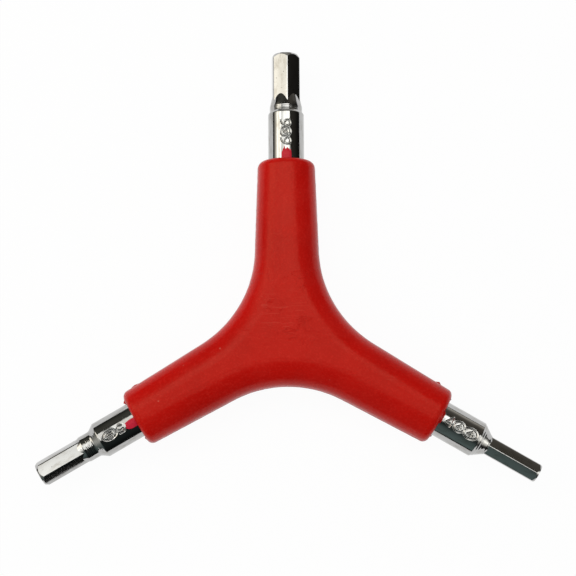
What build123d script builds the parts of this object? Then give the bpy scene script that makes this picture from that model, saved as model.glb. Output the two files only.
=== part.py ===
"""Three-way Y hex wrench: one moulded Y handle with three chrome-plated hex keys set in its arms.

Millimetres. The wrench lies flat: +Z is up, the 6 mm key points along +Y, and the 5 mm and 4 mm keys
point to the lower left and the lower right, 120 degrees apart. The origin is the centre of the Y on
the flat land that the handle rests on, so the keys' axes lie half the handle's thickness above it.
Each key is modelled along its own axis, with x measured outwards from the centre of the Y.
"""

from build123d import *
from math import cos, radians, sin, sqrt, tan
import os

# Shank, the same on all three keys. Its surface stands this far outside the corners of the thickest hex
shank_clearance = 0.536
shank_inner_chamfer = 0.8
key_end_gap = 11.6
shoulder_angle_deg = 35.0
shoulder_edge_round = 0.4
neck_root_round = 1.0

# Wings pressed out of the buried end of each shank, which stop it turning or pulling out
wing_inset = 2.5
wing_length = 9.0
wing_spread = 1.3
wing_thickness = 4.6
wing_corner_round = 2.2
wing_edge_round = 0.5
wing_ramp = 1.7

# Hex ends
hex_corner_round = 0.4
flare_core_share = 0.85
tip_chamfer_angle_deg = 30.0
tip_land_share = 0.475

# Handle, a one-piece moulding round the keys
first_arm_deg = 90.0
handle_reach = 38.0
mouth_wall = 2.3
cover_wall = 2.2
arm_taper_share = 0.036
top_land_width = 1.0
parting_land = 0.6
web_radius = 25.2
rim_round = 1.4

# Extra length that a cutting or trimming shape runs past what it cuts
overrun = 1.0

# Radius to a hexagon's corners, as a share of its width across flats
corner_share = 1 / sqrt(3)

# Each key: width across flats, how far the full shank and the tip stand out of the handle's mouth, how
# far the neck stands outside the hex's corners and how long it is, the slope of the flare that follows
# it, and the turn of one hex corner away from straight up
KEYS = {
    "hex_key_6mm": {
        "across_flats": 6.0,
        "shank_out": 11.0,
        "tip_out": 24.8,
        "neck_clearance": 0.161,
        "neck_length": 1.15,
        "flare_deg": 12.6,
        "clock_deg": -5.4,
    },
    "hex_key_5mm": {
        "across_flats": 5.0,
        "shank_out": 8.7,
        "tip_out": 23.5,
        "neck_clearance": 0.063,
        "neck_length": 2.4,
        "flare_deg": 19.0,
        "clock_deg": 20.0,
    },
    "hex_key_4mm": {
        "across_flats": 4.0,
        "shank_out": 9.3,
        "tip_out": 24.3,
        "neck_clearance": 0.01,
        "neck_length": 0.4,
        "flare_deg": 26.0,
        "clock_deg": -4.0,
    },
}

arm_spacing_deg = 360 / len(KEYS)
arm_angles_deg = [first_arm_deg + i * arm_spacing_deg for i in range(len(KEYS))]
half_spacing = radians(arm_spacing_deg / 2)

shank_radius = shank_clearance + corner_share * max(key["across_flats"] for key in KEYS.values())
shank_diameter = 2 * shank_radius
arm_end_width = shank_diameter + 2 * mouth_wall
handle_thickness = shank_diameter + 2 * cover_wall
key_height = handle_thickness / 2

# The keys' inner ends stop where key_end_gap of plastic is left between neighbours
shank_start = (key_end_gap / 2 + shank_radius * cos(half_spacing)) / sin(half_spacing)
wing_start = shank_start + wing_inset
wing_end = wing_start + wing_length
wing_width = shank_diameter + 2 * wing_spread


def revolved(points, rounds=()):
    """A solid of revolution about the key's axis, from (x, radius) points.

    rounds holds (point, radius) pairs for the corners of the outline that are rounded.
    """
    outline = make_face(Polyline(*points, close=True))
    for point, radius in rounds:
        corner = outline.vertices().sort_by_distance(point)[0]
        outline = fillet(corner, radius)
    return revolve(outline, axis=Axis.X)


def shank(key):
    """The round part of a key: shank, shoulder and neck, then the flare that the flats run out on."""
    neck_radius = key["neck_clearance"] + corner_share * key["across_flats"]
    core_radius = flare_core_share * key["across_flats"] / 2
    shank_end = handle_reach + key["shank_out"]
    shoulder_end = shank_end + (shank_radius - neck_radius) / tan(radians(shoulder_angle_deg))
    neck_end = shoulder_end + key["neck_length"]
    core_end = neck_end + (neck_radius - core_radius) / tan(radians(key["flare_deg"]))
    shoulder_edge = (shank_end, shank_radius)
    neck_root = (shoulder_end, neck_radius)
    outline = [
        (shank_start, 0),
        (shank_start, shank_radius - shank_inner_chamfer),
        (shank_start + shank_inner_chamfer, shank_radius),
        shoulder_edge,
        neck_root,
        (neck_end, neck_radius),
        (core_end, core_radius),
        (core_end, 0),
    ]
    return revolved(outline, [(shoulder_edge, shoulder_edge_round), (neck_root, neck_root_round)])


def hex_end(key):
    """The hexagonal bar with its coned tip. It starts inside the shank, where the round part hides it."""
    across_flats = key["across_flats"]
    corner_radius = corner_share * across_flats
    bar_start = handle_reach + key["shank_out"] - shank_radius
    tip = handle_reach + key["tip_out"]
    section = RegularPolygon(corner_radius, 6)
    section = fillet(section.vertices(), hex_corner_round)
    # The section's first corner points along its plane's x, which is straight up on the wrench
    across_key = Plane(origin=(bar_start, 0, 0), x_dir=(0, 0, 1), z_dir=(1, 0, 0))
    bar = extrude(across_key * Rot(0, 0, -key["clock_deg"]) * section, amount=tip - bar_start)
    land_radius = tip_land_share * across_flats
    clear_radius = corner_radius + overrun
    cone_start = tip - (clear_radius - land_radius) / tan(radians(tip_chamfer_angle_deg))
    tip_trim = revolved([
        (bar_start - overrun, 0),
        (bar_start - overrun, clear_radius),
        (cone_start, clear_radius),
        (tip, land_radius),
        (tip, 0),
    ])
    return bar & tip_trim


def wing_plate():
    """The flat ears that the press squeezes out to both sides of the shank."""
    plan = RectangleRounded(wing_length, wing_width, wing_corner_round)
    plate = Pos((wing_start + wing_end) / 2, 0, -wing_thickness / 2) * extrude(plan, amount=wing_thickness)
    edges = plate.edges().group_by(Axis.Z)
    return fillet(edges[0] + edges[-1], wing_edge_round)


def press_pocket():
    """What one press die clears above the ears: a flat with a ramp up to the full shank at each end."""
    flat_height = wing_thickness / 2
    top = shank_radius + overrun
    run = wing_ramp * (top - flat_height) / (shank_radius - flat_height)
    side = Plane.XZ * make_face(Polyline(
        (wing_start, flat_height),
        (wing_end, flat_height),
        (wing_end + run, top),
        (wing_start - run, top),
        close=True,
    ))
    return extrude(side, amount=wing_width, both=True)


def hex_key(key):
    """One key along the x axis: hex tip, flare, neck, shoulder, round shank and the wings that anchor it."""
    pocket = press_pocket()
    pressed = shank(key) - pocket - pocket.mirror(Plane.XY)
    return pressed + wing_plate() + hex_end(key)


def y_outline():
    """Plan of the handle: three tapered arms joined by large arcs that are tangent to their sides."""
    half_end = arm_end_width / 2
    # Adjacent arms' sides meet on the line half way between the arms
    inner_x = (half_end + arm_taper_share * handle_reach) / (tan(half_spacing) + arm_taper_share)
    inner_corner = (inner_x, inner_x * tan(half_spacing))
    points = []
    for angle in arm_angles_deg:
        for corner in ((handle_reach, -half_end), (handle_reach, half_end), inner_corner):
            points.append(Vector(*corner).rotate(Axis.Z, angle))
    outline = make_face(Polyline(*points, close=True))
    inner_corners = outline.vertices().sort_by(lambda v: v.center().length)[: len(KEYS)]
    return fillet(inner_corners, web_radius)


def lies_across_end(edge):
    """True for an edge across the end of an arm, whose middle lies outside the arm's shortest reach."""
    middle = edge.center()
    return sqrt(middle.X**2 + middle.Y**2) > handle_reach - rim_round


def handle_blank():
    """The handle with its rounded long edges and rounded end rims, before the keys are set in it."""
    blank = extrude(y_outline(), amount=handle_thickness)
    flat_edges = blank.edges().group_by(Axis.Z)
    long_edges = [e for e in flat_edges[0] + flat_edges[-1] if not lies_across_end(e)]
    # The long edges are rounded as far as the top land and the land at the parting line leave room
    side_round = min(handle_thickness - parting_land, arm_end_width - top_land_width) / 2
    blank = fillet(long_edges, side_round)
    for angle in arm_angles_deg:
        outward = Vector(1, 0).rotate(Axis.Z, angle)
        end_face = blank.faces().sort_by(Axis((0, 0, 0), outward))[-1]
        blank = fillet(end_face.edges(), rim_round)
    return blank


def build():
    """Makes every piece in its place, as a dict of name to solid."""
    pieces = {}
    handle = handle_blank()
    for (name, key), angle in zip(KEYS.items(), arm_angles_deg):
        placed = Pos(0, 0, key_height) * Rot(0, 0, angle) * hex_key(key)
        pieces[name] = placed
        # The plastic is moulded round the buried steel, so its cavity is the key's own shape
        handle = handle - placed
    pieces["handle"] = handle
    return pieces


os.makedirs("parts", exist_ok=True)
for name, shape in build().items():
    shape.label = name
    export_step(shape, f"parts/{name}.step")
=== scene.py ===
"""Looks of the three-way Y hex wrench: a red moulded handle and three chrome-plated hex keys.

The CAD handle keeps its mesh and gets a moulded plastic material. Each key is rebuilt as a finer mesh of
almost the same shape, with size marks stamped into its shank, and stands for its CAD node. The parting
seam with its flash, and the plastic that bled out along the shanks, are small pieces of their own.
Lengths are in millimetres, like the CAD, and become metres where meshes, lamps and nodes are made.
"""

from math import acos, atan2, cos, exp, pi, radians, sin, sqrt, tan

import bmesh
import bpy
import numpy as np
from mathutils import Matrix, Vector, noise
from mathutils.geometry import delaunay_2d_cdt


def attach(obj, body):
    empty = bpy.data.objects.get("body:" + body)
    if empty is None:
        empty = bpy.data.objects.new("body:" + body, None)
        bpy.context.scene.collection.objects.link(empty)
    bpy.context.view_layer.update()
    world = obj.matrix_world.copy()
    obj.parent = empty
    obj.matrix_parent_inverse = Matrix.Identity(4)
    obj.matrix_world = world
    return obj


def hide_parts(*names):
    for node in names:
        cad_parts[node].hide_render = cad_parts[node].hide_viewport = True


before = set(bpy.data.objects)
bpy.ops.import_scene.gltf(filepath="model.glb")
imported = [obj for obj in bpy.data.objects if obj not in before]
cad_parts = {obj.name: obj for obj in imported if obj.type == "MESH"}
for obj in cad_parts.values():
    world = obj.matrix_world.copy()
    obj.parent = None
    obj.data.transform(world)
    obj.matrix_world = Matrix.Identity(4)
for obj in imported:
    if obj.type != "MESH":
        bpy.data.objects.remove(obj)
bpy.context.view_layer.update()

MM = 0.001

# Sizes that the CAD part has too
KEY_HEIGHT = 6.2
REACH = 38.0
ARM_HALF_WIDTH = 6.3
ARM_TAPER = 0.036
WEB_RADIUS = 25.2
RIM_ROUND = 1.4
SHANK_RADIUS = 4.0
INNER_CHAMFER = 0.8
KEY_GAP = 11.6
SHOULDER = radians(35)
SHOULDER_ROUND = 0.4
HEX_ROUND = 0.4
TIP_CONE = radians(30)
TIP_LAND = 0.475
WING_INSET = 2.5
WING_LENGTH = 9.0
WING_HALF_WIDTH = 5.3
WING_HALF_THICKNESS = 2.3
WING_CORNER = 2.2
WING_RAMP = 1.7

# How much the middle of a hexagon's flat stands out past its edges, from the forging
FLAT_CROWN = 0.035

# Steps of the meshes: along a small round, along the web between two arms, and across a hexagon's flat
ROUND_STEPS = 8
WEB_STEPS = 40
FLAT_STEPS = 10

# Each key: width across flats, shank and tip beyond the mouth, neck, slope of the flare, turn of a corner
# from straight up, arm, the round at the neck's root, the lathe's rings as their pitch, height, share of
# finer rings and reach past the full shank, depth of the dents between them, and its marks. A mark is its
# symbols, its place beyond the mouth and across the shank, and its half length and half width. The 4 mm
# key's neck is shorter and its flare steeper than in the CAD part, which looks more like the photograph
KEYS = {
    "6mm": dict(
        across=6.0, shank=11.0, tip=24.8, neck=3.625, neck_length=1.15, flare=12.6, clock=-5.4, arm=90,
        root=1.0, rings=(0.32, 0.018, 0.6, 9.0), dents=0.006,
        marks=(("6", 8.2, 0.2, 0.72, 1.05), ("o6", 6.2, 0.2, 1.0, 1.1), ("6", 4.1, 0.2, 0.8, 1.05)),
    ),
    "5mm": dict(
        across=5.0, shank=8.7, tip=23.5, neck=2.95, neck_length=2.4, flare=19.0, clock=20.0, arm=210,
        root=1.0, rings=(0.36, 0.005, 0.6, 9.0), dents=0.014,
        marks=(("o5", 6.2, 0.4, 1.6, 1.0), ("5", 3.6, 0.45, 0.75, 0.85)),
    ),
    "4mm": dict(
        across=4.0, shank=9.3, tip=24.3, neck=2.319, neck_length=0.06, flare=35.0, clock=-4.0, arm=330,
        root=0.15, rings=(0.55, 0.022, 0.1, 1.5), dents=0.02,
        marks=(("o4", 7.1, -0.1, 1.6, 1.15), ("o4", 4.3, 0.0, 1.2, 1.1), ("4", 2.1, 0.1, 0.9, 1.1)),
    ),
}

ARMS = [key["arm"] for key in KEYS.values()]

# Stamped marks: how far they reach round the shank, the mesh step along it, and their grooves and lips
MARK_HALF_ANGLE = radians(24)
MARK_STEP = 0.06
MARK_ANGLE_STEP = radians(0.85)
GROOVE_HALF = 0.21
GROOVE_DEPTH = 0.15
LIP_HEIGHT = 0.018
LIP_PLACE = 1.4 * GROOVE_HALF
LIP_HALF = 0.5 * GROOVE_HALF
MARK_MARGIN = 3 * GROOVE_HALF
INNER_SHARE = 0.48

# The turned shoulder and neck: how close the dents lie, the mesh step, and the pitch of the finer rings as
# a share of the coarse ones' pitch, with their shift in radians
DENTS_PER_MM = 1.7
TURNED_STEP = 0.06
FINER_PITCH_SHARE = 0.57
FINER_SHIFT = 1.0

# Where a key's mesh has points: round a corner of the hexagon, then along the wings, the flare, the
# hexagonal bar and the tip's cone
CORNER_SHARES = (-1.15, -1, -0.66, -0.33, 0, 0.33, 0.66, 1, 1.15)
WING_SHARES = (0, 0.04, 0.1, 0.17, 0.245, 0.5, 0.755, 0.83, 0.9, 0.96, 1)
FLARE_SHARES = (0.34, 0.67, 1)
BAR_SHARES = (0.04, 0.25, 0.5, 0.75, 0.96, 1)
CONE_SHARES = (0.5, 1)

# Gaps between neighbouring points: along the key at a step, after the marks, and round the key at least
STEP_GAP = 0.001
MARK_END_GAP = 0.1
LEAST_ANGLE = 2e-4
# Keeps a divisor above zero, and the last value inside its range
TINY = 1e-9


def arm_frame(arm_deg):
    """An arm's own axes in the wrench: x outwards along the key, y across, z up."""
    return Matrix.Translation((0, 0, KEY_HEIGHT * MM)) @ Matrix.Rotation(radians(arm_deg), 4, "Z")


def new_object(name, mesh):
    piece = bpy.data.objects.new(name, mesh)
    bpy.context.scene.collection.objects.link(piece)
    return piece


# Camera, fitted to the outline of the wrench in the photograph. The focal length is a share of the
# picture's width
VIEW_TILT = radians(-8.86)
VIEW_TURN = radians(1.04)
VIEW_ROLL = radians(0.377)
VIEW_PLACE = Vector((0.133, 9.62, 300.0))
FOCAL_SHARE = 1369.2 / 576
SENSOR = 36.0
NEAREST = 10.0
FARTHEST = 20000.0


def make_camera():
    turn = Matrix.Rotation(VIEW_TILT, 3, "X") @ Matrix.Rotation(VIEW_TURN, 3, "Y")
    turn = turn @ Matrix.Rotation(VIEW_ROLL, 3, "Z")
    data = bpy.data.cameras.new("camera")
    data.sensor_width = SENSOR
    data.lens = SENSOR * FOCAL_SHARE
    data.clip_start = NEAREST * MM
    data.clip_end = FARTHEST * MM
    camera = new_object("camera", data)
    place = Matrix.Translation((0, 0, KEY_HEIGHT * MM))
    camera.matrix_world = place @ turn.transposed().to_4x4() @ Matrix.Translation(VIEW_PLACE * MM)
    bpy.context.scene.camera = camera


# Stamped size marks

def arc_points(centre, radii, first, last, steps):
    """Points of an elliptic arc, with its angles in degrees."""
    points = []
    for i in range(steps + 1):
        angle = radians(first + (last - first) * i / steps)
        points.append((centre[0] + radii[0] * cos(angle), centre[1] + radii[1] * sin(angle)))
    return points


# Strokes of each symbol, with x along the shank and y across it, as shares of a mark's half size
STROKES = {
    "6": [
        arc_points((0, -0.42), (0.9, 0.54), 0, 360, 20),
        [(0.62, 0.98), (-0.02, 0.78), (-0.6, 0.3), (-0.88, -0.3)],
    ],
    "5": [
        [(0.8, 0.95), (-0.65, 0.95), (-0.75, 0.12)]
        + arc_points((-0.03, -0.38), (0.9, 0.58), 125, -140, 16),
    ],
    "4": [[(0.35, -0.95), (0.35, 0.95), (-0.85, -0.35), (0.9, -0.35)]],
    "o": [arc_points((0, 0), (1, 1), 0, 360, 28)],
}


def mark_segments(key):
    """Every stroke of a key's marks as pairs of points in mm. A digit after a ring stands inside it."""
    segments = []
    for symbols, beyond_mouth, across, half_length, half_width in key["marks"]:
        for symbol in symbols:
            share = INNER_SHARE if symbols[0] == "o" and symbol != "o" else 1
            for stroke in STROKES[symbol]:
                size = np.array((share * half_length, share * half_width))
                points = np.array(stroke) * size + (REACH + beyond_mouth, across)
                segments += zip(points, points[1:])
    return np.array(segments)


def mark_span(key):
    """Where a key's stamped length starts and ends along the shank."""
    ends = []
    for _, beyond_mouth, _, half_length, _ in key["marks"]:
        ends += [REACH + beyond_mouth - half_length, REACH + beyond_mouth + half_length]
    return min(ends) - MARK_MARGIN, max(ends) + MARK_MARGIN


def mark_relief(key, xs, thetas):
    """Height of the stamped surface above the plain shank, for each place along and angle round it."""
    turned = (thetas + pi) % (2 * pi) - pi
    across = turned * SHANK_RADIUS
    points = np.stack(np.meshgrid(xs, across, indexing="ij"), axis=-1)
    distance = np.full(points.shape[:2], np.inf)
    for start, end in mark_segments(key):
        run = end - start
        share = np.clip(((points - start) @ run) / (run @ run), 0, 1)
        distance = np.minimum(distance, np.linalg.norm(points - start - share[..., None] * run, axis=-1))
    groove = np.maximum(0, 1 - distance / GROOVE_HALF)
    lip = np.maximum(0, 1 - ((distance - LIP_PLACE) / LIP_HALF) ** 2)
    first, last = mark_span(key)
    ends = np.clip(np.minimum(xs - first, last - xs) / GROOVE_HALF, 0, 1)
    sides = np.clip((MARK_HALF_ANGLE - np.abs(turned)) / (2 * MARK_ANGLE_STEP), 0, 1)
    return (LIP_HEIGHT * lip - GROOVE_DEPTH * groove) * ends[:, None] * sides[None, :]


# Key meshes, as rings of points round the key's axis

def rounded_profile(points, rounds):
    """Points (x, radius), with the numbered corners replaced by short arcs."""
    rounded = []
    for number, point in enumerate(points):
        radius = rounds.get(number)
        if radius is None:
            rounded.append(point)
            continue
        corner = Vector(point)
        before = (Vector(points[number - 1]) - corner).normalized()
        after = (Vector(points[number + 1]) - corner).normalized()
        half = acos(before.dot(after)) / 2
        centre = corner + (before + after).normalized() * radius / sin(half)
        first = corner + before * radius / tan(half) - centre
        last = corner + after * radius / tan(half) - centre
        for step in range(ROUND_STEPS + 1):
            rounded.append(tuple(centre + first.lerp(last, step / ROUND_STEPS).normalized() * radius))
    return rounded


def hex_radius(theta, across):
    """Radius of the rounded hexagon in a direction, measured from one of its corners."""
    to_corner = abs((theta + pi / 6) % (pi / 3) - pi / 6)
    centre = across / sqrt(3) - HEX_ROUND / cos(pi / 6)
    edge = round_edge(across)
    if to_corner < edge:
        return centre * cos(to_corner) + sqrt(HEX_ROUND**2 - (centre * sin(to_corner)) ** 2)
    from_middle = tan(pi / 6 - to_corner) / tan(pi / 6 - edge)
    return (across / 2 + FLAT_CROWN * (1 - from_middle**2)) / cos(pi / 6 - to_corner)


def round_edge(across):
    """Angle from a corner to where the hexagon's flat starts."""
    centre = across / sqrt(3) - HEX_ROUND / cos(pi / 6)
    return atan2(HEX_ROUND * sin(pi / 6), centre + HEX_ROUND * cos(pi / 6))


def buried_radius(x, theta, start):
    """Radius of the key's buried end: the round shank with its pressed wings."""
    radius = min(SHANK_RADIUS, SHANK_RADIUS - INNER_CHAMFER + x - start)
    wing_start = start + WING_INSET
    wing_end = wing_start + WING_LENGTH
    outside = max(wing_start - x, x - wing_end, 0)
    pressed = WING_HALF_THICKNESS + outside * (SHANK_RADIUS - WING_HALF_THICKNESS) / WING_RAMP
    upward = max(abs(cos(theta)), TINY)
    radius = min(radius, pressed / upward)
    if wing_start <= x <= wing_end:
        from_end = min(x - wing_start, wing_end - x)
        half = WING_HALF_WIDTH
        if from_end < WING_CORNER:
            half -= WING_CORNER - sqrt(WING_CORNER**2 - (WING_CORNER - from_end) ** 2)
        sideways = max(abs(sin(theta)), TINY)
        radius = max(radius, min(half / sideways, WING_HALF_THICKNESS / upward))
    return radius


def ring_angles(key):
    """Angles of the points round a key: the hexagon's corners and flats, and a fine band at the marks."""
    clock = radians(key["clock"])
    edge = round_edge(key["across"])
    flat = pi / 3 - 2 * edge
    angles = []
    for corner in range(6):
        at = clock + corner * pi / 3
        angles += [at + share * edge for share in CORNER_SHARES]
        angles += [at + edge + flat * step / FLAT_STEPS for step in range(1, FLAT_STEPS)]
    angles += list(np.arange(-MARK_HALF_ANGLE, MARK_HALF_ANGLE + TINY, MARK_ANGLE_STEP))
    angles = np.unique(np.round(np.mod(angles, 2 * pi), 5))
    return angles[np.concatenate(([True], np.diff(angles) > LEAST_ANGLE))]


def turned_rings(key, x):
    """The lathe's fine rings, as a change of radius."""
    pitch, height, finer, reach = key["rings"]
    inside = min(1, max(0, (REACH + key["shank"] + reach - x) / pitch))
    finer_pitch = FINER_PITCH_SHARE * pitch
    wave = sin(2 * pi * x / pitch) + finer * sin(2 * pi * x / finer_pitch + FINER_SHIFT)
    return inside * height * wave


def dents(key, x, radius, thetas):
    """Uneven dents round a ring, between -1 and 1."""
    places = np.stack((np.full(len(thetas), x), radius * np.sin(thetas), radius * np.cos(thetas)), axis=-1)
    places = places * DENTS_PER_MM + key["arm"]
    return np.array([noise.noise(place) for place in places])


def key_rings(key, thetas):
    """Rings of (x, radius) along a key, from its buried end to its tip, each with its edge's sharpness."""
    across = key["across"]
    start = (KEY_GAP / 2 + SHANK_RADIUS * cos(pi / 3)) / sin(pi / 3)
    wing_start = start + WING_INSET
    wing_end = wing_start + WING_LENGTH
    shank_end = REACH + key["shank"]
    tip = REACH + key["tip"]
    neck = key["neck"]
    neck_start = shank_end + (SHANK_RADIUS - neck) / tan(SHOULDER)
    neck_end = neck_start + key["neck_length"]
    plain = np.ones(len(thetas))
    rings = []

    buried = [start, start + INNER_CHAMFER, wing_start - WING_RAMP, wing_start - STEP_GAP]
    buried += [wing_start + share * WING_LENGTH for share in WING_SHARES]
    buried += [wing_end + STEP_GAP, wing_end + WING_RAMP]
    for x in buried:
        rings.append((x * plain, np.array([buried_radius(x, theta, start) for theta in thetas]), True))

    first, last = mark_span(key)
    xs = np.arange(first, last, MARK_STEP)
    for x, relief in zip(xs, mark_relief(key, xs, thetas)):
        rings.append((x * plain, SHANK_RADIUS + relief, False))

    corners = [(REACH, SHANK_RADIUS), (shank_end, SHANK_RADIUS), (neck_start, neck), (neck_end, neck)]
    profile = np.array(rounded_profile(corners, {1: SHOULDER_ROUND, 2: key["root"]}))
    run = np.concatenate(([0], np.cumsum(np.hypot(*np.diff(profile, axis=0).T))))
    from_run = last + MARK_END_GAP - REACH
    for at in np.linspace(from_run, run[-1], int((run[-1] - from_run) / TURNED_STEP)):
        x = np.interp(at, run, profile[:, 0])
        radius = np.interp(at, run, profile[:, 1])
        depth = min(1, max(0, (SHANK_RADIUS - radius) / SHOULDER_ROUND), (run[-1] - at) / key["rings"][0])
        rough = depth * (turned_rings(key, x) + key["dents"] * dents(key, x, radius, thetas))
        rings.append((x * plain, radius + rough, False))

    flat = np.array([hex_radius(theta - radians(key["clock"]), across) for theta in thetas])
    slope = tan(radians(key["flare"]))
    crease = neck_end + (neck - flat) / slope
    for share in FLARE_SHARES:
        x = neck_end + share * (crease - neck_end)
        rings.append((x, neck - (x - neck_end) * slope, share == 1))
    land = TIP_LAND * across
    cone = tip - (flat - land) / tan(TIP_CONE)
    for share in BAR_SHARES:
        rings.append((crease + share * (cone - crease), flat, share == 1))
    for share in CONE_SHARES:
        rings.append((cone + share * (tip - cone), flat + share * (land - flat), share == 1))
    return rings


def ring_mesh(name, rings, thetas):
    """A closed mesh through the rings, flat at both ends, with the rings marked sharp that say so."""
    count = len(thetas)
    places = []
    for x, radius, _ in rings:
        places.append(np.column_stack((x, radius * np.sin(thetas), radius * np.cos(thetas))))
    places = np.concatenate(places)
    first_centre = len(places)
    ends = ((places[0][0], 0, 0), (places[-1][0], 0, 0))
    places = np.concatenate((places, ends)) * MM
    faces = []
    for i in range(len(rings) - 1):
        for j in range(count):
            k = (j + 1) % count
            faces.append((i * count + j, i * count + k, (i + 1) * count + k, (i + 1) * count + j))
    last = (len(rings) - 1) * count
    for j in range(count):
        k = (j + 1) % count
        faces.append((first_centre, k, j))
        faces.append((first_centre + 1, last + j, last + k))
    mesh = bpy.data.meshes.new(name)
    mesh.from_pydata(places.tolist(), [], faces)
    mesh.shade_smooth()
    sharp = mesh.attributes.new("sharp_edge", "BOOLEAN", "EDGE")
    for edge in mesh.edges:
        a, b = edge.vertices
        same_ring = a // count == b // count and max(a, b) < first_centre
        sharp.data[edge.index].value = same_ring and bool(rings[a // count][2])
    return mesh


# Plastic details: parting seam, flash and bleed

SEAM_HEIGHT = 0.05
SEAM_HALF_WIDTH = 0.09
SEAM_STEP = 0.25
# How uneven the seam is along its length, how much wider it gets where it is high, and its rim's width
SEAM_UNEVEN_SHARE = 0.6
SEAM_WAVES_PER_MM = 0.9
SEAM_WIDENING = 0.2
SEAM_RIM_SHARE = 0.35

# Flash on the seam: arm, place along and across the arm, how far it stands out and how wide it is
FLASH = (
    (330, 34.2, 6.4, 0.42, 0.5),
    (330, 38.0, 4.7, 0.3, 0.35),
    (330, 38.0, -4.3, 0.35, 0.3),
    (90, 38.0, 4.5, 0.35, 0.4),
    (210, 38.0, -4.4, 0.55, 0.45),
    (210, 34.6, -6.4, 0.2, 0.8),
    (210, 38.0, 4.5, 0.25, 0.3),
)
FLASH_RAGGED_SHARE = 0.5
FLASH_WAVES_PER_MM = 3.0

# Plastic that bled out along a shank: key, length out of the mouth, middle and half of its angle round it
BLEEDS = (
    ("6mm", 2.7, radians(0), radians(17)),
    ("5mm", 2.6, radians(9), radians(15)),
    ("4mm", 0.55, radians(0), radians(22)),
)
BLEED_HEIGHT = 0.05
BLEED_INSIDE = 0.6
BLEED_ROWS = 36
BLEED_COLUMNS = 30
# How ragged a tongue's end is, how much shorter its sides are, how lumpy it is, and how deep it sinks into
# the marks and at its edge
BLEED_RAGGED_SHARE = 0.35
BLEED_SIDE_SHARE = 0.55
BLEED_LUMP_SHARE = 0.6
BLEED_MARK_SHARE = 0.45
BLEED_EDGE_SHARE = 0.3
# Waves of its ragged end and of its lumps: along the key for each mm, and round it for each radian
RAGGED_WAVES = 14
LUMP_WAVES = (1.6, 9)
LUMP_SEED = 7
# How steeply the tongue thins out at its end and at its sides
END_SLOPE = 4
SIDE_SLOPE = 5


def half_arm_outline():
    """Half of an arm's plan at the parting plane, from the web's middle to the shank, with its normals."""
    side = atan2(-ARM_TAPER, 1)
    corner_x = (ARM_HALF_WIDTH + ARM_TAPER * REACH) / (tan(pi / 3) + ARM_TAPER)
    to_centre = WEB_RADIUS / sin(pi / 3 - side)
    centre = Vector((corner_x, corner_x * tan(pi / 3))) + Vector((cos(pi / 3), sin(pi / 3))) * to_centre
    points = []
    first, last = pi / 3 + pi, side - pi / 2 + 2 * pi
    for step in range(WEB_STEPS + 1):
        angle = first + (last - first) * step / WEB_STEPS
        outward = Vector((cos(angle), sin(angle)))
        points.append((centre + outward * WEB_RADIUS, -outward))
    straight_end = REACH - RIM_ROUND
    along = points[-1][0].x
    normal = Vector((-sin(side), cos(side)))
    for x in np.arange(along + SEAM_STEP, straight_end - SEAM_STEP, SEAM_STEP):
        points.append((Vector((x, ARM_HALF_WIDTH + ARM_TAPER * (REACH - x))), normal))
    middle = Vector((straight_end, ARM_HALF_WIDTH + ARM_TAPER * RIM_ROUND - RIM_ROUND))
    for step in range(ROUND_STEPS + 1):
        angle = (pi / 2 - side) * (1 - step / ROUND_STEPS)
        outward = Vector((cos(angle), sin(angle)))
        points.append((middle + outward * RIM_ROUND, outward))
    for y in np.arange(middle.y - SEAM_STEP / 2, SHANK_RADIUS, -SEAM_STEP / 2):
        points.append((Vector((REACH, y)), Vector((1, 0))))
    return points


def seam_height(arm, point, seed):
    """How far the seam stands out at a point of an arm, with the flash there."""
    waves = noise.noise(Vector((*(point * SEAM_WAVES_PER_MM), seed)))
    height = SEAM_HEIGHT * (1 + SEAM_UNEVEN_SHARE * waves)
    for flash_arm, x, y, reach, width in FLASH:
        if flash_arm == arm:
            away = (point - Vector((x, y))).length
            waves = noise.noise(Vector((*(point * FLASH_WAVES_PER_MM), seed)))
            height += reach * (1 + FLASH_RAGGED_SHARE * waves) * exp(-((away / width) ** 2))
    return height


def parting_seam():
    """The fine ridge where the mould's halves met, round the handle at half its thickness."""
    bm = bmesh.new()
    for arm in ARMS:
        place = arm_frame(arm)
        for flip in (1, -1):
            rows = []
            for point, outward in half_arm_outline():
                point = Vector((point.x, point.y * flip))
                outward = Vector((outward.x, outward.y * flip))
                height = seam_height(arm, point, arm)
                rim = point + outward * height
                foot = point - outward * SEAM_HALF_WIDTH
                half = SEAM_HALF_WIDTH + SEAM_WIDENING * height
                rim_half = SEAM_RIM_SHARE * half
                section = ((foot, -half), (rim, -rim_half), (rim, rim_half), (foot, half))
                rows.append([bm.verts.new(place @ (Vector((*at, z)) * MM)) for at, z in section])
            for before, after in zip(rows, rows[1:]):
                for k in range(4):
                    m = (k + 1) % 4
                    bm.faces.new((before[k], before[m], after[m], after[k]))
            bm.faces.new(rows[0])
            bm.faces.new(rows[-1])
    bmesh.ops.recalc_face_normals(bm, faces=bm.faces)
    mesh = bpy.data.meshes.new("parting_seam")
    bm.to_mesh(mesh)
    bm.free()
    return mesh


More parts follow.
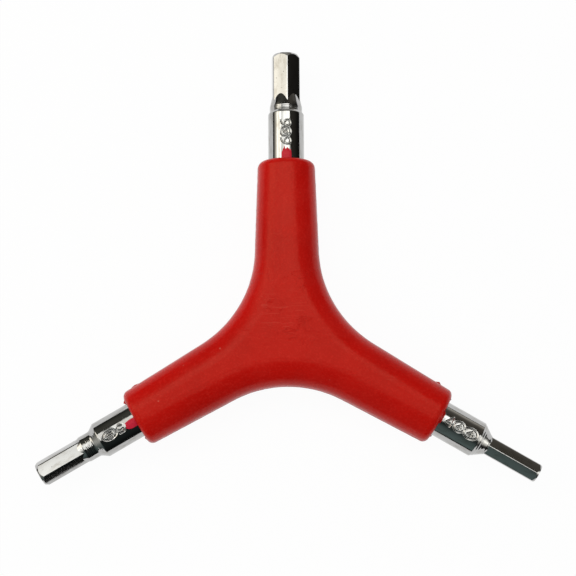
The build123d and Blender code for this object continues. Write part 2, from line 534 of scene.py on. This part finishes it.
def bleed_mesh(name, key, length, middle_angle, half_angle):
    """A thin ragged tongue of plastic on the shank, which starts inside the mouth and fills the marks."""
    rows, columns = BLEED_ROWS, BLEED_COLUMNS
    thetas = middle_angle + np.linspace(-half_angle, half_angle, columns + 1)
    shares = np.linspace(0, 1, rows + 1)
    bm = bmesh.new()
    tops, unders = [], []
    for share in shares:
        tops.append([])
        unders.append([])
        for theta in thetas:
            side = abs(theta - middle_angle) / half_angle
            ragged = 1 + BLEED_RAGGED_SHARE * noise.noise(Vector((theta * RAGGED_WAVES, key["arm"], 0)))
            out = length * ragged * (1 - BLEED_SIDE_SHARE * side**4)
            x = REACH - BLEED_INSIDE + share * (BLEED_INSIDE + out)
            relief = mark_relief(key, np.array([x]), np.array([theta]))[0, 0]
            lump_place = Vector((x * LUMP_WAVES[0], theta * LUMP_WAVES[1], LUMP_SEED))
            lumps = BLEED_LUMP_SHARE * noise.noise(lump_place)
            edge = min(1, END_SLOPE * (1 - share), SIDE_SLOPE * (1 - side))
            layer = BLEED_HEIGHT * (edge * (1 + lumps) - BLEED_EDGE_SHARE * (1 - edge))
            top = SHANK_RADIUS + BLEED_MARK_SHARE * relief + layer
            for grid, radius in ((tops, top), (unders, SHANK_RADIUS - 2 * GROOVE_DEPTH)):
                place = Vector((x, radius * sin(theta), radius * cos(theta))) * MM
                grid[-1].append(bm.verts.new(place))
    for i in range(rows):
        for j in range(columns):
            bm.faces.new((tops[i][j], tops[i + 1][j], tops[i + 1][j + 1], tops[i][j + 1]))
            bm.faces.new((unders[i][j], unders[i][j + 1], unders[i + 1][j + 1], unders[i + 1][j]))
    for i in range(rows):
        for j in (0, columns):
            bm.faces.new((tops[i][j], unders[i][j], unders[i + 1][j], tops[i + 1][j]))
    for j in range(columns):
        for i in (0, rows):
            bm.faces.new((tops[i][j], tops[i][j + 1], unders[i][j + 1], unders[i][j]))
    bmesh.ops.recalc_face_normals(bm, faces=bm.faces)
    mesh = bpy.data.meshes.new(name)
    bm.to_mesh(mesh)
    bm.free()
    mesh.shade_smooth()
    return mesh


# Materials

# Name of the attribute that keeps a point's place in its arm's axes
ARM_PLACE = "arm_place"


class Shading:
    """A material's nodes, with a short way to add each kind that is used here."""

    def __init__(self, name):
        self.material = bpy.data.materials.new(name)
        self.material.use_nodes = True
        self.nodes = self.material.node_tree.nodes
        self.links = self.material.node_tree.links
        self.nodes.clear()
        self.output = self.nodes.new("ShaderNodeOutputMaterial")

    def add(self, kind, **settings):
        node = self.nodes.new("ShaderNode" + kind)
        for name, value in settings.items():
            setattr(node, name, value)
        return node

    def put(self, socket, value):
        """Sets a socket to a value, or links it where the value is a node's output."""
        if isinstance(value, bpy.types.NodeSocket):
            self.links.new(value, socket)
        else:
            socket.default_value = value

    def place(self, scale=(1, 1, 1), turn_deg=0, in_arm=False):
        """Places on the wrench, or in the arm's own axes, stretched by a scale for each axis."""
        if in_arm:
            source = self.add("Attribute", attribute_name=ARM_PLACE).outputs["Vector"]
        else:
            source = self.add("TexCoord").outputs["Object"]
        mapping = self.add("Mapping")
        mapping.inputs["Scale"].default_value = scale
        mapping.inputs["Rotation"].default_value = (0, 0, radians(turn_deg))
        self.links.new(source, mapping.inputs["Vector"])
        return mapping.outputs["Vector"]

    def noise(self, place, per_metre, detail=2.0, roughness=0.5, distortion=0.0):
        node = self.add("TexNoise")
        self.links.new(place, node.inputs["Vector"])
        node.inputs["Scale"].default_value = per_metre
        node.inputs["Detail"].default_value = detail
        node.inputs["Roughness"].default_value = roughness
        node.inputs["Distortion"].default_value = distortion
        return node.outputs["Fac"]

    def cells(self, place, per_metre):
        """Distance to the nearest of points scattered through the piece, in cell widths."""
        node = self.add("TexVoronoi")
        self.links.new(place, node.inputs["Vector"])
        node.inputs["Scale"].default_value = per_metre
        return node.outputs["Distance"]

    def ramp(self, value, start, end, low=0.0, high=1.0):
        """Goes from low to high while the value goes from start to end."""
        node = self.add("MapRange", interpolation_type="SMOOTHSTEP")
        self.links.new(value, node.inputs["Value"])
        for name, number in (("From Min", start), ("From Max", end), ("To Min", low), ("To Max", high)):
            node.inputs[name].default_value = number
        return node.outputs[0]

    def math(self, operation, first, second):
        node = self.add("Math", operation=operation)
        self.put(node.inputs[0], first)
        self.put(node.inputs[1], second)
        return node.outputs[0]

    def weaken(self, value, share):
        return self.math("MULTIPLY", value, share)

    def distance(self, place, point):
        """Distance in metres from a point given in millimetres."""
        node = self.add("VectorMath", operation="DISTANCE")
        self.links.new(place, node.inputs[0])
        node.inputs[1].default_value = Vector(point) * MM
        return node.outputs["Value"]

    def blend(self, share, first, second):
        """A colour between two others."""
        node = self.add("Mix", data_type="RGBA")
        self.put(node.inputs[0], share)
        self.put(node.inputs[6], first)
        self.put(node.inputs[7], second)
        return node.outputs[2]

    def bump(self, height, millimetres, normal=None):
        node = self.add("Bump")
        self.links.new(height, node.inputs["Height"])
        node.inputs["Strength"].default_value = 1.0
        node.inputs["Distance"].default_value = millimetres * MM
        if normal is not None:
            self.links.new(normal, node.inputs["Normal"])
        return node.outputs["Normal"]

    def surface(self, colour, roughness, normal, **constants):
        shader = self.add("BsdfPrincipled")
        self.put(shader.inputs["Base Color"], colour)
        self.put(shader.inputs["Roughness"], roughness)
        self.links.new(normal, shader.inputs["Normal"])
        for name, value in constants.items():
            # A keyword such as specular_ior_level names the socket Specular IOR Level
            shader.inputs[name.replace("_", " ").title().replace("Ior", "IOR")].default_value = value
        self.links.new(shader.outputs[0], self.output.inputs[0])
        return self.material


CHROME = (0.46, 0.458, 0.45, 1)
CHROME_STAIN = (0.3, 0.285, 0.26, 1)
CHROME_PIT = (0.16, 0.15, 0.14, 1)
PLASTIC = (0.505, 0.0024, 0.0011, 1)
PLASTIC_DEEP = (0.455, 0.002, 0.0009, 1)
PLASTIC_FLOW = (0.36, 0.0022, 0.001, 1)
PLASTIC_SCUFF = (0.55, 0.035, 0.024, 1)
PLASTIC_SPECK = (0.62, 0.16, 0.12, 1)
PLASTIC_GRAIN = (0.7, 0.028, 0.02, 1)
# Colour of the plastic that bled out: its own pinker red, partly lighter in green and blue as painted sheen
# of its highlights
BLED_PLASTIC_WITH_PAINTED_SHEEN = (0.58, 0.018, 0.052, 1)
PLASTIC_SHEEN = (1, 0.8, 0.55, 1)

# Least and most roughness of the moulded handle and of the plastic that bled out
MOULDED_ROUGHNESS = (0.22, 0.3)
BLED_ROUGHNESS = (0.2, 0.4)

# How the places are stretched for the marks of the brush along a key, its stains, and the plastic's scuffs
# and wrinkles, and the turn of the wrinkles in degrees
BRUSH_SCALE = (0.06, 1, 1)
STAIN_SCALE = (0.4, 1, 1)
SCUFF_SCALE = (0.07, 1, 1)
WRINKLE_SCALE = (1, 1.3, 1)
WRINKLE_TURN = 30

# Each direction of scuffs, in degrees, with the level of noise above which a scuff shows
SCUFF_TURNS = ((24, 0.7), (-38, 0.72), (71, 0.715))
SCUFF_SOFTNESS = 0.05

# Where the plastic was let into the mould, and how far from there its scuffs and wrinkles begin and end
GATE = (-1.5, 5.0, 12.4)
GATE_SCUFFS = (9.0, 4.0)
GATE_WRINKLES = (14.0, 6.0)


def chrome_material():
    """Bright chrome over forged steel: slightly wavy, brushed along the key, with stains and pits."""
    s = Shading("chrome_plate")
    place = s.place(in_arm=True)
    stain = s.noise(s.place(STAIN_SCALE, in_arm=True), per_metre=850, detail=5.0, roughness=0.62)
    stain = s.ramp(stain, start=0.46, end=0.68)
    pit = s.ramp(s.cells(place, per_metre=900), start=0.14, end=0.08)
    pitted = s.ramp(s.noise(place, per_metre=160), start=0.5, end=0.62)
    colour = s.blend(s.weaken(stain, 0.6), CHROME, CHROME_STAIN)
    colour = s.blend(s.math("MULTIPLY", pit, pitted), colour, CHROME_PIT)
    roughness = s.noise(place, per_metre=300, detail=3.0)
    roughness = s.ramp(roughness, start=0.35, end=0.75, low=0.055, high=0.1)
    roughness = s.math("ADD", roughness, s.weaken(stain, 0.08))
    normal = s.bump(s.noise(place, per_metre=520), millimetres=0.007)
    brushed = s.noise(s.place(BRUSH_SCALE, in_arm=True), per_metre=4200, detail=3.0, roughness=0.6)
    normal = s.bump(brushed, millimetres=0.0009, normal=normal)
    fine = s.noise(place, per_metre=3300, roughness=0.6)
    normal = s.bump(fine, millimetres=0.0011, normal=normal)
    return s.surface(colour, roughness, normal, metallic=1.0)


def scuff_marks(s, near_gate):
    """Fine scratches in three directions, in patches and round the gate."""
    scuffs = None
    for turn, threshold in SCUFF_TURNS:
        lines = s.noise(s.place(SCUFF_SCALE, turn), per_metre=2600, distortion=0.6)
        lines = s.math("ADD", lines, s.weaken(near_gate, 0.07))
        patches = s.ramp(s.noise(s.place(turn_deg=turn), per_metre=140), start=0.52, end=0.66)
        patches = s.math("MAXIMUM", patches, near_gate)
        scuff = s.math("MULTIPLY", s.ramp(lines, threshold, threshold + SCUFF_SOFTNESS), patches)
        scuffs = scuff if scuffs is None else s.math("MAXIMUM", scuffs, scuff)
    return scuffs


def wrinkles(s, place, from_gate):
    """Short wrinkles round the gate, where a slow noise passes its middle level."""
    level = s.noise(s.place(WRINKLE_SCALE, WRINKLE_TURN), 230, detail=3.0, roughness=0.55, distortion=0.8)
    level = s.math("ABSOLUTE", s.math("SUBTRACT", level, 0.5), 0.0)
    near = s.ramp(from_gate, *(distance * MM for distance in GATE_WRINKLES))
    patches = s.ramp(s.noise(place, per_metre=190, detail=1.0), start=0.48, end=0.58)
    return s.math("MULTIPLY", s.ramp(level, start=0.016, end=0.004), s.math("MULTIPLY", near, patches))


def plastic_material(name, base, deep, roughness_low, roughness_high):
    """Satin moulded plastic: fine grain, slow changes of colour, wrinkles, scuffs and specks."""
    s = Shading(name)
    place = s.place()
    from_gate = s.distance(place, GATE)
    scuffs = scuff_marks(s, s.ramp(from_gate, *(distance * MM for distance in GATE_SCUFFS)))
    flow = wrinkles(s, place, from_gate)
    speck = s.ramp(s.cells(place, per_metre=200), start=0.055, end=0.03)
    grain = s.ramp(s.noise(place, per_metre=2400, roughness=0.6), start=0.46, end=0.7)

    colour = s.blend(s.ramp(s.noise(place, per_metre=85, detail=4.0), start=0.35, end=0.7), base, deep)
    colour = s.blend(s.weaken(grain, 0.28), colour, PLASTIC_GRAIN)
    colour = s.blend(s.weaken(scuffs, 0.5), colour, PLASTIC_SCUFF)
    colour = s.blend(s.weaken(speck, 0.6), colour, PLASTIC_SPECK)
    colour = s.blend(s.weaken(flow, 0.3), colour, PLASTIC_FLOW)

    roughness = s.noise(place, per_metre=210, detail=4.0)
    roughness = s.ramp(roughness, start=0.3, end=0.7, low=roughness_low, high=roughness_high)
    roughness = s.math("ADD", roughness, s.weaken(scuffs, 0.12))

    normal = s.bump(s.noise(place, per_metre=70), millimetres=0.02)
    normal = s.bump(flow, millimetres=0.03, normal=normal)
    normal = s.bump(s.noise(place, per_metre=1200), millimetres=0.009, normal=normal)
    normal = s.bump(s.noise(place, per_metre=2800, roughness=0.6), millimetres=0.008, normal=normal)
    normal = s.bump(scuffs, millimetres=0.002, normal=normal)
    return s.surface(colour, roughness, normal, specular_ior_level=0.165, specular_tint=PLASTIC_SHEEN)


# Stage, all outside the object

# Share of plain white in what the camera and reflections see of the floor
FLOOR_GLOW = 0.955
FLOOR_COLOUR = (0.95, 0.95, 0.95, 1)
FLOOR_HALF = 3000.0
FLOOR_DROP = 0.1


def floor():
    """A white floor that shows as white to the camera and in metal, and still takes the shadow."""
    mesh = bpy.data.meshes.new("floor")
    half = FLOOR_HALF * MM
    corners = [(-half, -half, 0), (half, -half, 0), (half, half, 0), (-half, half, 0)]
    mesh.from_pydata(corners, [], [(0, 1, 2, 3)])
    piece = new_object("floor", mesh)
    piece.location.z = -FLOOR_DROP * MM
    s = Shading("pale_floor")
    diffuse = s.add("BsdfDiffuse")
    diffuse.inputs["Color"].default_value = FLOOR_COLOUR
    glow = s.add("Emission")
    path = s.add("LightPath")
    seen = s.math("MAXIMUM", path.outputs["Is Camera Ray"], path.outputs["Is Glossy Ray"])
    seen = s.math("MAXIMUM", seen, path.outputs["Is Transmission Ray"])
    mix = s.add("MixShader")
    s.links.new(s.math("MULTIPLY", seen, FLOOR_GLOW), mix.inputs[0])
    s.links.new(diffuse.outputs[0], mix.inputs[1])
    s.links.new(glow.outputs[0], mix.inputs[2])
    s.links.new(mix.outputs[0], s.output.inputs[0])
    mesh.materials.append(s.material)
    return piece


def only_in_reflections(piece):
    piece.visible_camera = False
    piece.visible_diffuse = False
    piece.visible_shadow = False
    piece.visible_transmission = False
    return piece


def direction(azimuth, polar):
    """Unit vector at an azimuth from +X and an angle from straight up, both in degrees."""
    across = sin(radians(polar))
    return Vector((across * cos(radians(azimuth)), across * sin(radians(azimuth)), cos(radians(polar))))


# What the studio's cards show in the chrome, dark ones and bright glows for lit parts of the studio:
# azimuth and angle from straight up, spread, colour
CARDS = (
    (54, 55, 18, (0.085, 0.077, 0.064)),
    (54, 86, 9, (0.5, 0.47, 0.42)),
    (124, 55, 18, (0.07, 0.07, 0.058)),
    (-113, 60, 19, (0.1, 0.136, 0.132)),
    (-113, 88, 12, (0.08, 0.11, 0.107)),
    (165, 65, 9, (1.3, 1.22, 1.05)),
    (90, 88, 12, (0.6, 0.59, 0.55)),
    (-156, 82, 14, (0.65, 0.65, 0.6)),
    (-23, 84, 10, (0.7, 0.7, 0.65)),
    (-160, 46, 10, (1.8, 1.78, 1.68)),
    (-20, 33, 7, (1.8, 1.78, 1.7)),
    (-22, 74, 8, (2.0, 1.98, 1.88)),
)
CARD_BASE = 0.005
DOME_RADIUS = 1600.0
DOME_RINGS = 32
DOME_COLUMNS = 96
# Angles from straight up of the dome's lowest ring and of the edge of its cap
DOME_LOWEST = 91.5
DOME_HIGHEST = 0.5


def card_colour(aim):
    colour = Vector((CARD_BASE, CARD_BASE, CARD_BASE))
    for azimuth, polar, spread, tint in CARDS:
        away = acos(max(-1, min(1, aim.dot(direction(azimuth, polar))))) / radians(spread)
        colour += Vector(tint) * exp(-away * away / 2)
    return (*colour, 1)


def card_material(name):
    """The colours that a card's corners have, as they show in the chrome."""
    s = Shading(name)
    tint = s.add("Attribute", attribute_name="card")
    glow = s.add("Emission")
    s.links.new(tint.outputs["Color"], glow.inputs["Color"])
    s.links.new(glow.outputs[0], s.output.inputs[0])
    return s.material


def card_dome():
    """Dark cards and bright glows all round above the floor, seen only in reflections."""
    bm = bmesh.new()
    layer = bm.verts.layers.float_color.new("card")
    grid = []
    for i in range(DOME_RINGS):
        polar = DOME_LOWEST + (DOME_HIGHEST - DOME_LOWEST) * i / DOME_RINGS
        grid.append([])
        for j in range(DOME_COLUMNS):
            aim = direction(360 * j / DOME_COLUMNS, polar)
            vertex = bm.verts.new(aim * DOME_RADIUS * MM)
            vertex[layer] = card_colour(aim)
            grid[-1].append(vertex)
    for lower, upper in zip(grid, grid[1:]):
        for j in range(DOME_COLUMNS):
            k = (j + 1) % DOME_COLUMNS
            bm.faces.new((lower[j], upper[j], upper[k], lower[k]))
    bm.faces.new(grid[-1])
    mesh = bpy.data.meshes.new("dark_cards")
    bm.to_mesh(mesh)
    bm.free()
    mesh.materials.append(card_material("dark_card"))
    return only_in_reflections(new_object("dark_cards", mesh))


# Each low card: the direction of the bay that it lies in, and how far it keeps from the keys beside it
LOW_CARDS = ((150, 110.0), (270, 58.0), (30, 110.0))
LOW_CARD_HEIGHT = 0.3
LOW_CARD_COLOUR = (0.02, 0.02, 0.018, 1)


def low_cards():
    """Black cards on the table in the three bays, a set way off from the keys beside them."""
    mesh = bpy.data.meshes.new("low_cards")
    corners, faces = [], []
    for middle, offset in LOW_CARDS:
        point = direction(middle, 90) * offset / sin(pi / 3) * MM
        first = len(corners)
        corners.append(point)
        for turn in (-60, 0, 60):
            corners.append(point + direction(middle + turn, 90) * DOME_RADIUS * MM)
        faces.append((first, first + 1, first + 2, first + 3))
    mesh.from_pydata(corners, [], faces)
    s = Shading("black_card")
    glow = s.add("Emission")
    glow.inputs["Color"].default_value = LOW_CARD_COLOUR
    s.links.new(glow.outputs[0], s.output.inputs[0])
    mesh.materials.append(s.material)
    piece = only_in_reflections(new_object("low_cards", mesh))
    piece.location.z = LOW_CARD_HEIGHT * MM
    return piece


# The white card overhead in millimetres: its outline, places inside it, each with its brightness, and its
# height
WHITE_CARD = (
    (-300, 305, 1.7), (-560, 290, 1.6), (-500, 180, 1.6), (-200, 0, 2.3), (-80, -100, 1.8), (50, -160, 1.8),
    (200, -100, 1.9), (230, 50, 1.9), (255, 260, 2.4), (180, 400, 2.6),
)
WHITE_CARD_INSIDE = ((-290, 255, 1.5), (11, 150, 3.2), (11, 220, 2.9), (76, 36, 1.3), (-54, 36, 1.3))
WHITE_CARD_HEIGHT = 590.0
WHITE_CARD_TINT = (1, 1, 0.965)
# The triangulation's kind of output, and the distance below which it merges points
TRIANGLES_INSIDE = 1
MERGE_BELOW = 1e-4


def white_card():
    """The large white panel overhead that the tops of the keys mirror, seen only in reflections."""
    plan = (*WHITE_CARD, *WHITE_CARD_INSIDE)
    places = [Vector((x, y)) for x, y, _ in plan]
    outline = list(range(len(WHITE_CARD)))
    triangulated = delaunay_2d_cdt(places, [], [outline], TRIANGLES_INSIDE, MERGE_BELOW)
    corners, _, faces, sources, _, _ = triangulated
    mesh = bpy.data.meshes.new("white_card")
    mesh.from_pydata([(x * MM, y * MM, WHITE_CARD_HEIGHT * MM) for x, y in corners], [], faces)
    levels = mesh.attributes.new("card", "FLOAT_COLOR", "POINT")
    for number, source in enumerate(sources):
        levels.data[number].color = (*(Vector(WHITE_CARD_TINT) * plan[source[0]][2]), 1)
    mesh.materials.append(card_material("white_card"))
    return only_in_reflections(new_object("white_card", mesh))


# The lamps: place and size in millimetres, brightness of the face, and colour
SIDE_SOFTBOX = dict(place=(-460, 100, 386), width=440, height=300, radiance=1.6, colour=(1, 0.95, 0.83))
TOP_SOFTBOX = dict(place=(-90, 170, 380), width=300, height=240, radiance=1.86, colour=(1, 1, 0.975))


def softbox(name, place, width, height, radiance, colour):
    """A lamp aimed at the wrench, with its power worked out from the brightness of its face."""
    data = bpy.data.lights.new(name, "AREA")
    data.shape = "RECTANGLE"
    data.size = width * MM
    data.size_y = height * MM
    data.energy = radiance * data.size * data.size_y * pi
    data.color = colour
    lamp = new_object(name, data)
    lamp.location = Vector(place) * MM
    lamp.rotation_euler = (-Vector(place)).to_track_quat("-Z", "Y").to_euler()
    return lamp


# How bright the sky is as a light on the wrench, where 1 is the white that the camera sees
WORLD_FOR_OBJECT = 0.56


def studio_world():
    """White all round for the camera and in reflections, and a plain even light on the object."""
    world = bpy.data.worlds.new("studio")
    bpy.context.scene.world = world
    world.use_nodes = True
    nodes, links = world.node_tree.nodes, world.node_tree.links
    nodes.clear()
    path = nodes.new("ShaderNodeLightPath")
    seen = path.outputs["Is Camera Ray"]
    for kind in ("Is Glossy Ray", "Is Transmission Ray"):
        either = nodes.new("ShaderNodeMath")
        either.operation = "MAXIMUM"
        links.new(seen, either.inputs[0])
        links.new(path.outputs[kind], either.inputs[1])
        seen = either.outputs[0]
    level = nodes.new("ShaderNodeMapRange")
    level.inputs["To Min"].default_value = WORLD_FOR_OBJECT
    level.inputs["To Max"].default_value = 1.0
    sky = nodes.new("ShaderNodeBackground")
    sky.inputs["Color"].default_value = (1, 1, 1, 1)
    output = nodes.new("ShaderNodeOutputWorld")
    links.new(seen, level.inputs["Value"])
    links.new(level.outputs[0], sky.inputs["Strength"])
    links.new(sky.outputs[0], output.inputs[0])


# The wrench

def add_piece(name, mesh, material, arm=None):
    """A piece of the wrench. Made in an arm's axes, it keeps its places there and then moves to the arm."""
    if arm is not None:
        places = np.empty(len(mesh.vertices) * 3)
        mesh.vertices.foreach_get("co", places)
        kept = mesh.attributes.new(ARM_PLACE, "FLOAT_VECTOR", "POINT")
        kept.data.foreach_set("vector", places)
        mesh.transform(arm_frame(arm))
    piece = new_object(name, mesh)
    mesh.materials.append(material)
    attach(piece, "root")
    return piece


make_camera()
steel = chrome_material()
plastic = plastic_material("moulded_plastic", PLASTIC, PLASTIC_DEEP, *MOULDED_ROUGHNESS)
# The bled plastic's colour holds painted sheen as well as its own pinker red
bled_plastic = plastic_material("bled_plastic", BLED_PLASTIC_WITH_PAINTED_SHEEN, PLASTIC_DEEP, *BLED_ROUGHNESS)

for size, key in KEYS.items():
    thetas = ring_angles(key)
    mesh = ring_mesh(f"key_{size}", key_rings(key, thetas), thetas)
    piece = add_piece(f"key_{size}", mesh, steel, key["arm"])
    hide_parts(f"hex_key_{size}")

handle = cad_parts["handle"]
handle.data.materials.clear()
handle.data.materials.append(plastic)
add_piece("parting_seam", parting_seam(), plastic)
for size, length, middle_angle, half_angle in BLEEDS:
    mesh = bleed_mesh(f"bleed_{size}", KEYS[size], length, middle_angle, half_angle)
    add_piece(f"bleed_{size}", mesh, bled_plastic, KEYS[size]["arm"])

floor()
card_dome()
low_cards()
white_card()
softbox("side_softbox", **SIDE_SOFTBOX)
top_lamp = softbox("top_softbox", **TOP_SOFTBOX)
# The chrome mirrors the white card in its place
top_lamp.visible_glossy = False
studio_world()
bpy.context.scene.view_settings.view_transform = "Standard"
